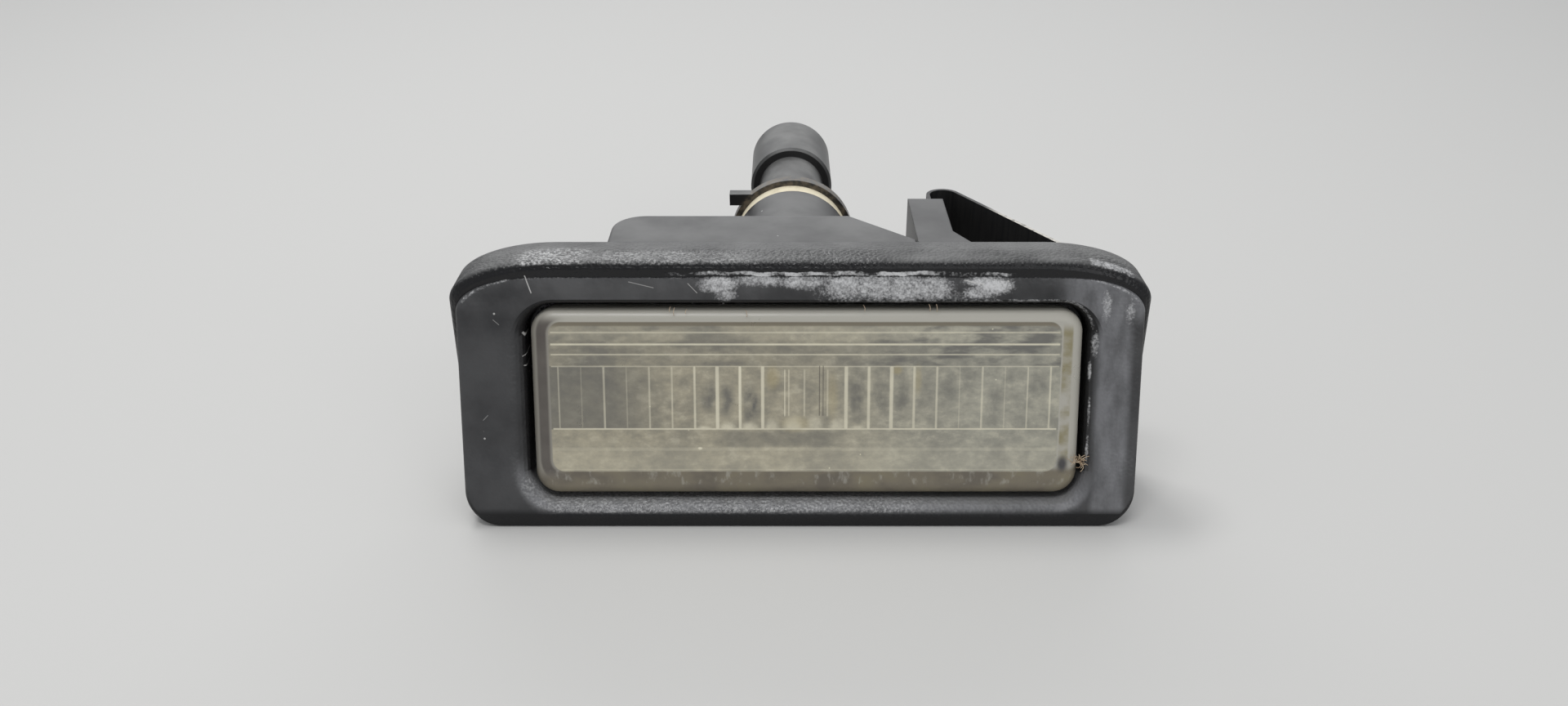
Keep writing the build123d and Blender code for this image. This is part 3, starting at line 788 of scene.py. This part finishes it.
def rib_edge(side, step):
    """X of a flute's edge, counted outwards from the wide middle flute."""
    return LENS_MIDDLE + side * (MIDDLE_FLUTE / 2 + step * FLUTE_PITCH)


flute_lines = [(rib_edge(-1, step), half, power) for step, half, power in LEFT_LINES]
flute_lines += [(rib_edge(1, step), half, power) for step, half, power in RIGHT_LINES]
flute_places = [place for place, _, _ in flute_lines]
print("flute edges from", round(min(flute_places), 2), "to", round(max(flute_places), 2), "mm")

# %% [markdown]
# The lines are painted as soft stripes. A slow noise along each stripe makes it fade in and out, and
# small flares at the feet of the middle flutes show where the prisms below throw light back up.

# %% Lines of the lens
FLARES = [
    ((-11.9, -4.0), (1.2, 0.40), 0.80),
    ((-9.1, -4.0), (1.1, 0.85), 0.75),
    ((-6.3, -4.0), (1.3, 0.95), 0.75),
    ((-3.5, -4.0), (1.1, 1.40), 0.55),
    ((-0.9, -4.0), (1.5, 1.90), 0.60),
    ((1.9, -4.0), (1.1, 2.20), 0.45),
    ((4.6, -4.0), (1.2, 1.30), 0.60),
    ((7.1, -4.0), (1.2, 0.45), 0.45),
]
FLUTE_HEIGHT = (FLUTE_FOOT, FLUTE_TOP, 0.05)
MIDDLE_HEIGHT = (-2.3, 3.1, 0.3)
FLARE_HEIGHT = (FLUTE_FOOT - 0.1, FLUTE_FOOT)
FLARE_LEAST = 0.35
LINE_LEAST = 0.55
FLUTE_RISE = 0.85
ROW_RISE = 0.8
FIELD_EDGE = (-0.15, -0.3)


def lens_lines(p):
    """Mask of the bright lines along the edges of the ribs."""
    middle = p.times(stripes(p, p.x, MIDDLE_LINES), p.band(p.z, *MIDDLE_HEIGHT))
    along = p.level(LINE_LEAST, FLUTE_RISE, p.noise(1.6, stretch=(0.7, 1, 2.0), shift=11.0))
    flutes = p.times(p.most(stripes(p, p.x, flute_lines), middle), p.band(p.z, *FLUTE_HEIGHT), along)
    broken = p.plus(FLARE_LEAST, p.noise(0.9, detail=4.0, shift=4.0))
    flare = p.times(rubs(p, FLARES), broken, p.fade(p.z, *FLARE_HEIGHT))
    across = p.level(LINE_LEAST, ROW_RISE, p.noise(4.0, stretch=(1, 1, 0.2), shift=3.0))
    rows = p.times(stripes(p, p.z, PRISM_LINES + FOOT_LINES), across)
    return p.times(p.most(flutes, flare, rows), p.fade(outside(p, *FIELD), *FIELD_EDGE))


# %% [markdown]
# Dirt has crept in behind the lens. It lies as dark clouds in some of the flutes and in smears between
# the prisms, most of all at the upper right, and it greys the left end. All of it is soft, because it is
# seen through the haze.

# %% Grime of the lens
GRIME_CLOUDS = [
    ((-14.5, 1.6), (1.2, 1.1), 0.55),
    ((-17.6, -0.8), (1.0, 1.1), 0.35),
    ((-11.4, 0.0), (1.2, 2.2), 0.75),
    ((-9.0, -0.4), (1.1, 2.6), 0.75),
    ((-6.2, -0.9), (1.3, 3.0), 1.05),
    ((-21.0, -0.5), (2.2, 2.4), 0.30),
    ((7.2, -0.3), (1.3, 3.2), 0.75),
    ((9.9, -0.3), (1.3, 3.2), 0.65),
    ((12.8, 0.3), (1.3, 3.0), 0.60),
    ((15.5, 1.0), (1.3, 2.8), 0.50),
    ((18.4, 0.0), (1.3, 3.4), 0.35),
    ((24.0, -0.5), (1.2, 3.6), 0.45),
    ((26.8, 2.6), (1.3, 1.4), 0.45),
    ((29.6, 1.8), (1.3, 2.4), 0.50),
]
CLOUD_HEIGHT = (FLUTE_FOOT + 0.5, FLUTE_TOP - 0.1, 0.4)
CLOUD_LEAST = 0.30
SMEAR_HEIGHT = (3.9, 8.6, 0.5)
RIGHT_SMEAR_SPAN = (0.0, 14.0)
LEFT_SMEAR_SPAN = (4.0, -12.0)
LEFT_SMEAR_LEAST = 0.25
LEFT_SMEAR_RISE = 0.45
LEFT_END_SPAN = (-14.0, -25.0)
LEFT_END_HEIGHT = (FLUTE_FOOT, FLUTE_TOP, 0.1)
LEFT_END_STRENGTH = 0.78
LOW_HEIGHT = (-6.0, -4.6, 0.5)
LOW_SPAN = (-8.0, 3.0, 4.0)
LOW_STRENGTH = 0.45
GROOVES = [((5.2, 6.1, 0.15), 0.38), ((3.8, 4.9, 0.15), 0.22)]


def lens_grime(p):
    """Mask of the grey smudges in the field."""
    blots = p.noise(1.7, detail=5.0, stretch=(1, 1, 1.3), shift=2.0, cut=(0.34, 0.66))
    clouds = p.times(rubs(p, GRIME_CLOUDS), p.plus(CLOUD_LEAST, blots), p.band(p.z, *CLOUD_HEIGHT))
    smears = p.noise(2.2, detail=4.0, stretch=(2.6, 1, 0.8), shift=8.0, cut=(0.40, 0.62))
    in_prisms = p.band(p.z, *SMEAR_HEIGHT)
    upper_right = p.times(in_prisms, p.fade(p.x, *RIGHT_SMEAR_SPAN), smears)
    thin_smears = p.level(LEFT_SMEAR_LEAST, LEFT_SMEAR_RISE, smears)
    upper_left = p.times(in_prisms, p.fade(p.x, *LEFT_SMEAR_SPAN), thin_smears)
    left_end = p.times(p.fade(p.x, *LEFT_END_SPAN), p.band(p.z, *LEFT_END_HEIGHT), LEFT_END_STRENGTH)
    lower = p.times(p.band(p.z, *LOW_HEIGHT), p.band(p.x, *LOW_SPAN), LOW_STRENGTH)
    between = p.most(*[p.times(p.band(p.z, *height), strength) for height, strength in GROOVES])
    return p.most(clouds, upper_right, upper_left, left_end, lower, between)


print(len(GRIME_CLOUDS), "clouds of grime in the flutes")

# %% [markdown]
# The rim of the lens is a plain rounded skirt, seen edge on. Its top looks up and is painted pale, a
# painted highlight, and its foot is painted brown, a painted shade, mottled with dark and yellow dirt and
# dried water marks. Its two ends have stripes along the gap. The left one is dark and runs around the
# corners, so it is painted by its distance from the ribbed field. The right one is a straight yellow streak
# with a black blot at its foot.

# %% Rim of the lens
RIM_PALE = (0.55, 0.53, 0.465)
RIM_BROWN = (0.235, 0.205, 0.150)
RIM_DARK = (0.115, 0.100, 0.088)
RIM_GREY = (0.30, 0.28, 0.24)
RIM_YELLOW = (0.33, 0.29, 0.17)
RIM_BLACK = (0.035, 0.035, 0.045)
RIM_FOOT = -9.35
FOOT_HEIGHT = (RIM_FOOT + 0.9, RIM_FOOT - 0.1)
FOOT_DARK = 0.50
FOOT_DARK_CUT = (0.42, 0.66)
FOOT_YELLOW = 0.30
FOOT_YELLOW_CUT = (0.46, 0.26)
MARK_HEIGHT = (-10.8, RIM_FOOT, 0.4)
MARK_STRENGTH = 0.45
LEFT_SPAN = (-28.6, -31.2)
LEFT_TOP_HEIGHT = (10.0, 8.6)
LEFT_FOOT_HEIGHT = (-10.6, -9.0)
LEFT_STRENGTH = 0.85
LEFT_STRIPE_EDGE = (0.45, 1.35, 0.35)
LEFT_STRIPE_LEAST = 0.65
LEFT_STRIPE_RISE = 0.5
SHADE_EDGE = (-0.40, -0.05, 0.2)
SHADE_HEIGHT = (8.0, 8.8)
SHADE_STRENGTH = 0.95
SKIRT_EDGE = (-0.08, 0.08)
STREAK_SPAN = (32.5, 33.4, 0.3)
STREAK_HEIGHT = (-8.0, 7.5, 1.5)
STREAK_CUT = (0.30, 0.60)
BLOT = ((32.9, -8.4), (0.9, 1.3), 0.9)


def rim_skirt(p, cloud, edge):
    """Colour of the skirt on its top, its foot and its left end."""
    at_foot = p.fade(p.z, *FOOT_HEIGHT)
    beside = p.times(p.fade(p.z, *LEFT_TOP_HEIGHT), p.fade(p.z, *LEFT_FOOT_HEIGHT))
    at_left = p.times(p.fade(p.x, *LEFT_SPAN), beside)
    # Painted light: the top is painted pale as a highlight and the foot brown as shade.
    skirt = p.blend(at_foot, RIM_PALE, RIM_BROWN)
    skirt = p.blend(p.times(at_foot, p.fade(cloud, *FOOT_DARK_CUT), FOOT_DARK), skirt, RIM_DARK)
    skirt = p.blend(p.times(at_foot, p.fade(cloud, *FOOT_YELLOW_CUT), FOOT_YELLOW), skirt, RIM_YELLOW)
    skirt = p.blend(p.times(at_left, LEFT_STRENGTH), skirt, RIM_GREY)
    uneven = p.level(LEFT_STRIPE_LEAST, LEFT_STRIPE_RISE, cloud)
    skirt = p.blend(p.times(at_left, p.band(edge, *LEFT_STRIPE_EDGE), uneven), skirt, RIM_DARK)
    marks = p.noise(1.2, detail=5.0, stretch=(0.8, 1, 1.6), shift=1.0, cut=(0.52, 0.70))
    return p.blend(p.times(marks, p.band(p.z, *MARK_HEIGHT), MARK_STRENGTH), skirt, RIM_PALE)


def lens_rim(p, colour):
    """Paint the four sides of the rim over a colour."""
    cloud = p.noise(3.0, detail=4.0, stretch=(1.5, 1, 1), shift=6.0)
    edge = outside(p, *FIELD)
    shade = p.times(p.band(edge, *SHADE_EDGE), p.fade(p.z, *SHADE_HEIGHT), SHADE_STRENGTH)
    colour = p.blend(shade, colour, RIM_BROWN)
    colour = p.blend(p.fade(edge, *SKIRT_EDGE), colour, rim_skirt(p, cloud, edge))
    streak = p.times(p.band(p.x, *STREAK_SPAN), p.band(p.z, *STREAK_HEIGHT), p.fade(cloud, *STREAK_CUT))
    colour = p.blend(streak, colour, RIM_YELLOW)
    return p.blend(rub(p, *BLOT), colour, RIM_BLACK)


# %% [markdown]
# The haze itself is uneven: warmer on the left, cooler on the right, clouded and mottled. The rows at the
# foot and at the top are lit a little more, and yellow stains and two dark flute edges mark the middle.
#
# The finished shader keeps a part of the light going through, so that the ribs of the solid still bend it
# and the tray shows faintly behind. Most of the light is scattered by the haze, which is the base colour.

# %% Finished lens
STAINS = [
    ((-3.4, 2.3), (1.1, 1.8), 0.45),
    ((4.0, 0.0), (0.9, 3.5), 0.30),
    ((12.0, 3.2), (0.8, 0.7), 0.50),
    ((14.6, 2.0), (0.6, 2.2), 0.35),
    ((-0.6, -3.4), (2.2, 1.2), 0.40),
]
DROP = ((-12.5, -6.45), (0.40, 0.22), 1.0)
HAZE_WARM = (0.495, 0.450, 0.335)
HAZE_COOL = (0.485, 0.468, 0.382)
GRIME_GREY = (0.165, 0.162, 0.150)
STAIN_YELLOW = (0.52, 0.43, 0.22)
LINE_CREAM = (0.96, 0.90, 0.70)
COOL_SPAN = (-5.0, 25.0)
CLOUDED = 0.40
CLOUDED_CUT = (0.40, 0.72)
MOTTLED_DARK = 0.36
MOTTLED_DARK_CUT = (0.45, 0.70)
MOTTLED_PALE = 0.24
MOTTLED_PALE_CUT = (0.50, 0.30)
LIT_FOOT_HEIGHT = (-4.5, -8.5)
LIT_FOOT = 0.16
LIT_TOP_HEIGHT = (7.0, 8.4, 0.4)
LIT_TOP = 0.14
GRIME_STRENGTH = 0.86
DARK_HEIGHT = (-2.3, FLUTE_TOP, 0.2)
LENS_ROUGH = 0.20
CLOUD_ROUGH = 0.25
LENS_RIPPLE = 0.02
LENS_CLEAR = 0.2
LENS_IOR = 1.49


def lens_haze(p, cloud):
    """Colour of the yellowed plastic before its lines, grime and rim."""
    mottle = p.noise(1.3, detail=5.0, rough=0.65, stretch=(1.4, 1, 0.9), shift=16.0)
    colour = p.blend(p.fade(p.x, *COOL_SPAN), HAZE_WARM, HAZE_COOL)
    colour = p.blend(p.times(p.fade(cloud, *CLOUDED_CUT), CLOUDED), colour, GRIME_GREY)
    colour = p.blend(p.times(p.fade(mottle, *MOTTLED_DARK_CUT), MOTTLED_DARK), colour, GRIME_GREY)
    colour = p.blend(p.times(p.fade(mottle, *MOTTLED_PALE_CUT), MOTTLED_PALE), colour, LINE_CREAM)
    lit_foot = p.times(p.fade(p.z, *LIT_FOOT_HEIGHT), LIT_FOOT)
    lit_top = p.times(p.band(p.z, *LIT_TOP_HEIGHT), LIT_TOP)
    return p.blend(p.most(lit_foot, lit_top), colour, LINE_CREAM)


def lens_plastic():
    p = Paint("lens_plastic")
    cloud = p.noise(5.0, detail=5.0, rough=0.6, shift=5.0)
    colour = lens_haze(p, cloud)
    colour = p.blend(p.times(lens_grime(p), GRIME_STRENGTH), colour, GRIME_GREY)
    colour = p.blend(rubs(p, STAINS), colour, STAIN_YELLOW)
    colour = p.blend(p.most(lens_lines(p), rub(p, *DROP)), colour, LINE_CREAM)
    dark_edges = p.times(stripes(p, p.x, DARK_LINES), p.band(p.z, *DARK_HEIGHT))
    colour = p.blend(dark_edges, colour, RIM_DARK)
    colour = lens_rim(p, colour)
    colour = p.blend(p.specks(spacing=3.4, size=0.035, shift=9.0), colour, LINE_CREAM)
    rough = p.level(LENS_ROUGH, CLOUD_ROUGH, cloud)
    normal = p.relief(p.noise(1.4, detail=4.0), LENS_RIPPLE, strength=0.6)
    p.finish(Base_Color=colour, Roughness=rough, Normal=normal)
    return p.finish(Transmission_Weight=LENS_CLEAR, IOR=LENS_IOR)


dress("lens", lens_plastic())

# %% [markdown]
# Behind the lens sits a pale tray that throws the bulb's light forward. It only shows through the lens,
# so a smooth cream plastic with a little dust is enough.

# %% Reflector plastic
TRAY_CREAM = (0.80, 0.78, 0.70)
TRAY_DUSTY = (0.70, 0.68, 0.58)
TRAY_ROUGH = 0.45
TRAY_RIPPLE = 0.01


def reflector_plastic():
    p = Paint("reflector_plastic")
    colour = p.blend(p.noise(6.0, cut=(0.3, 0.7)), TRAY_CREAM, TRAY_DUSTY)
    normal = p.relief(p.noise(0.8), TRAY_RIPPLE, strength=0.4)
    return p.finish(Base_Color=colour, Roughness=TRAY_ROUGH, Normal=normal)


dress("reflector", reflector_plastic())

# %% [markdown]
# The bulb holder is a second black plastic, smoother than the housing. It has no leather grain, only a
# faint moulding haze, with dust on top of the barrel. The edge of its round flange is rubbed brown by the
# seal and by hands, but its back and the two lugs beside it stay black.

# %% Holder plastic
HOLDER_BLACK = (0.016, 0.0155, 0.0155)
HOLDER_DUST = (0.185, 0.185, 0.18)
HOLDER_BROWN = (0.17, 0.135, 0.095)
HOLDER_AXIS = (-0.8, 5.7)
HOLDER_FLANGE_DEPTH = (27.2, 29.0, 0.1)
HOLDER_FLANGE_RADIUS = (9.4, 9.1)
HOLDER_DUST_TILT = (0.15, 0.95)
FACING_BACK = (0.6, 0.2)
BROWN_STRENGTH = 0.55
HOLDER_ROUGH = 0.34
HOLDER_DUST_ROUGH = 0.3
HOLDER_RIPPLE = 0.012
HOLDER_EDGE_RADIUS = 0.2


def holder_plastic():
    p = Paint("holder_plastic")
    cloud = p.noise(5.0, detail=4.0, cut=(0.15, 0.75))
    dust = p.times(p.fade(p.facing_z, *HOLDER_DUST_TILT), cloud)
    from_axis = p.diagonal(p.minus(p.x, HOLDER_AXIS[0]), p.minus(p.z, HOLDER_AXIS[1]))
    on_flange = p.times(p.band(p.y, *HOLDER_FLANGE_DEPTH), p.fade(from_axis, *HOLDER_FLANGE_RADIUS))
    off_back = p.fade(p.facing_y, *FACING_BACK)
    worn = p.times(on_flange, off_back, p.noise(0.9, detail=4.0, cut=(0.35, 0.65)))
    colour = p.blend(dust, HOLDER_BLACK, HOLDER_DUST)
    colour = p.blend(p.times(worn, BROWN_STRENGTH), colour, HOLDER_BROWN)
    rough = p.level(HOLDER_ROUGH, HOLDER_DUST_ROUGH, dust)
    rounded = p.soft_edge(HOLDER_EDGE_RADIUS)
    normal = p.relief(p.noise(0.35), HOLDER_RIPPLE, strength=0.6, normal=rounded)
    return p.finish(Base_Color=colour, Roughness=rough, Normal=normal)


dress("bulb_holder", holder_plastic())

# %% [markdown]
# The seal is a soft cream ring squeezed between the boss and the holder. Rubber has no sharp gloss, and
# dirt gathers on it in spots.

# %% Seal rubber
SEAL_CREAM = (0.74, 0.67, 0.50)
SEAL_SOIL = (0.40, 0.33, 0.21)
SOIL_STRENGTH = 0.45
SEAL_ROUGH = 0.7
SEAL_RIPPLE = 0.02


def seal_rubber():
    p = Paint("seal_rubber")
    soil = p.noise(1.6, detail=4.0, cut=(0.52, 0.75))
    colour = p.blend(p.times(soil, SOIL_STRENGTH), SEAL_CREAM, SEAL_SOIL)
    normal = p.relief(p.noise(0.4), SEAL_RIPPLE, strength=0.6)
    return p.finish(Base_Color=colour, Roughness=SEAL_ROUGH, Normal=normal)


dress("holder_seal", seal_rubber())

# %% [markdown]
# The clip is a strip of blackened spring steel. Its cut edges are bare along the leaf, so they catch the
# light as a thin pale line, and the flat faces stay almost black.

# %% Clip steel
STEEL_BLACK = (0.030, 0.030, 0.031)
STEEL_BROWN = (0.045, 0.044, 0.043)
STEEL_BARE = (0.52, 0.50, 0.46)
CUT_EDGE_TILT = (0.5, 0.9)
LEAF_SPAN = (25.5, 28.0)
STEEL_ROUGH = 0.34
BRUSH_ROUGH = 0.2
BLACK_METAL = 0.55
BARE_METAL = 0.3
BRUSH_RIPPLE = 0.004
BRUSH_CUT = (0.3, 0.7)


def clip_steel():
    p = Paint("clip_steel")
    brush = p.noise(0.5, stretch=(1, 1, 12))
    edge = p.fade(p.calc("ABSOLUTE", p.facing_z), *CUT_EDGE_TILT)
    bare = p.times(edge, p.fade(p.x, *LEAF_SPAN), p.noise(0.8, cut=(0.25, 0.5)))
    colour = p.blend(p.fade(brush, *BRUSH_CUT), STEEL_BLACK, STEEL_BROWN)
    colour = p.blend(bare, colour, STEEL_BARE)
    rough = p.level(STEEL_ROUGH, BRUSH_ROUGH, brush)
    metal = p.level(BLACK_METAL, BARE_METAL, bare)
    normal = p.relief(brush, BRUSH_RIPPLE, strength=0.5)
    return p.finish(Base_Color=colour, Roughness=rough, Metallic=metal, Normal=normal)


dress("spring_clip", clip_steel())

# %% [markdown]
# Inside sit a glass bulb and two brass strips. They hardly show, but a look into the connector or through
# the lens should find the real materials there.

# %% Bulb glass and contact brass
GLASS_TINT = (0.95, 0.96, 0.95)
GLASS_ROUGH = 0.02
GLASS_HAZE_ROUGH = 0.08
GLASS_CLEAR = 0.95
GLASS_IOR = 1.5
BRASS_BRIGHT = (0.72, 0.55, 0.26)
BRASS_TARNISHED = (0.42, 0.29, 0.13)
BRASS_ROUGH = 0.28
TARNISH_ROUGH = 0.25


def bulb_glass():
    p = Paint("bulb_glass")
    rough = p.level(GLASS_ROUGH, GLASS_HAZE_ROUGH, p.noise(3.0, cut=(0.5, 0.8)))
    return p.finish(Base_Color=GLASS_TINT, Roughness=rough, Transmission_Weight=GLASS_CLEAR, IOR=GLASS_IOR)


def contact_brass():
    p = Paint("contact_brass")
    tarnish = p.noise(1.4, detail=4.0, cut=(0.4, 0.7))
    colour = p.blend(tarnish, BRASS_BRIGHT, BRASS_TARNISHED)
    rough = p.level(BRASS_ROUGH, TARNISH_ROUGH, tarnish)
    return p.finish(Base_Color=colour, Roughness=rough, Metallic=1.0)


dress("bulb", bulb_glass())
brass = contact_brass()
dress("contact_left", brass)
dress("contact_right", brass)

# %% [markdown]
# A tuft of beige lint is caught in the gap at the lens's lower right corner, and a few loose hairs stick
# to the window's upper edge. Each strand is a short bent curve with a round section, through three places
# on the leaning face. A lift raises each place out of the face or sinks it in. The root is always sunk, so
# every strand starts in the face that holds it.

# %% Strands of lint
FACE_TOP = Vector((0.0, -6.1, 14.6))
FACE_LEAN = math.radians(16)
FACE_OUT = Vector((0.0, -math.cos(FACE_LEAN), math.sin(FACE_LEAN)))
STRAND_RADIUS = 0.035
STRAND_ORDER = 3
LINT_PALE = (0.62, 0.50, 0.36)
LINT_BROWN = (0.36, 0.25, 0.16)
LINT_ROUGH = 0.8


def on_face(x, z, out):
    """Place on the leaning face, in millimetres, raised by out."""
    slide = (FACE_TOP.z - z) * math.tan(FACE_LEAN)
    return Vector((x, FACE_TOP.y - slide, z)) + FACE_OUT * out


def strand(places, lifts):
    """Points of one strand, each raised by its lift."""
    return [on_face(x, z, out) for (x, z), out in zip(places, lifts)]


def add_strand(curve, points):
    """Smooth thin strand through a few places."""
    spline = curve.splines.new("NURBS")
    spline.points.add(len(points) - 1)
    for point, place in zip(spline.points, points):
        point.co = (*(place * MM), 1)
    spline.order_u = STRAND_ORDER
    spline.use_endpoint_u = True


def lint(name, strands):
    """One piece made of strands, riding on the lamp's base."""
    curve = bpy.data.curves.new(name, "CURVE")
    curve.dimensions = "3D"
    curve.bevel_depth = STRAND_RADIUS * MM
    curve.bevel_resolution = 1
    for points in strands:
        add_strand(curve, points)
    piece = bpy.data.objects.new(name, curve)
    bpy.context.scene.collection.objects.link(piece)
    paint = Paint(name)
    colour = paint.blend(paint.noise(0.6, detail=2.0, cut=(0.3, 0.7)), LINT_PALE, LINT_BROWN)
    curve.materials.append(paint.finish(Base_Color=colour, Roughness=LINT_ROUGH))
    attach(piece, "base")
    print(name, "has", len(strands), "strands")


# %% [markdown]
# The strands of the tuft start close together and curl in all directions. The hairs hang down from the
# window's upper edge, each with a small sway. A fixed seed makes the same lint every time.

# %% Tuft and hairs
SEED = 4
TUFT_MIDDLE = (34.9, -8.0)
TUFT_STRANDS = 26
TUFT_SPREAD = 0.35
TUFT_REACH = (0.4, 1.1)
TUFT_CURL = 1.2
TUFT_LIFTS = (-0.25, 0.25, 0.1)
HAIRS = [
    (-15.9, 10.9), (-15.4, 10.8), (-13.9, 10.6), (-6.7, 10.5), (7.7, 11.1), (15.7, 11.2), (16.6, 11.2),
]
HAIR_SWAY = 0.3
HAIR_DROP = (0.5, 1.0)
HAIR_BEND = 0.4
HAIR_LIFTS = (-0.3, 0.15, -0.2)

rng = random.Random(SEED)
tuft = []
for _ in range(TUFT_STRANDS):
    x, z = (c + rng.gauss(0, TUFT_SPREAD) for c in TUFT_MIDDLE)
    turn = rng.uniform(0, 2 * math.pi)
    reach = rng.uniform(*TUFT_REACH)
    curl = rng.uniform(-TUFT_CURL, TUFT_CURL)
    middle = (x + 0.5 * reach * math.cos(turn), z + 0.5 * reach * math.sin(turn))
    end = (x + reach * math.cos(turn + curl), z + reach * math.sin(turn + curl))
    tuft.append(strand([(x, z), middle, end], TUFT_LIFTS))
lint("lint_tuft", tuft)

hairs = []
for x, z in HAIRS:
    sway = rng.uniform(-HAIR_SWAY, HAIR_SWAY)
    drop = rng.uniform(*HAIR_DROP)
    middle = (x + sway, z - HAIR_BEND * drop)
    hairs.append(strand([(x, z), middle, (x + sway / 2, z - drop)], HAIR_LIFTS))
lint("window_hairs", hairs)
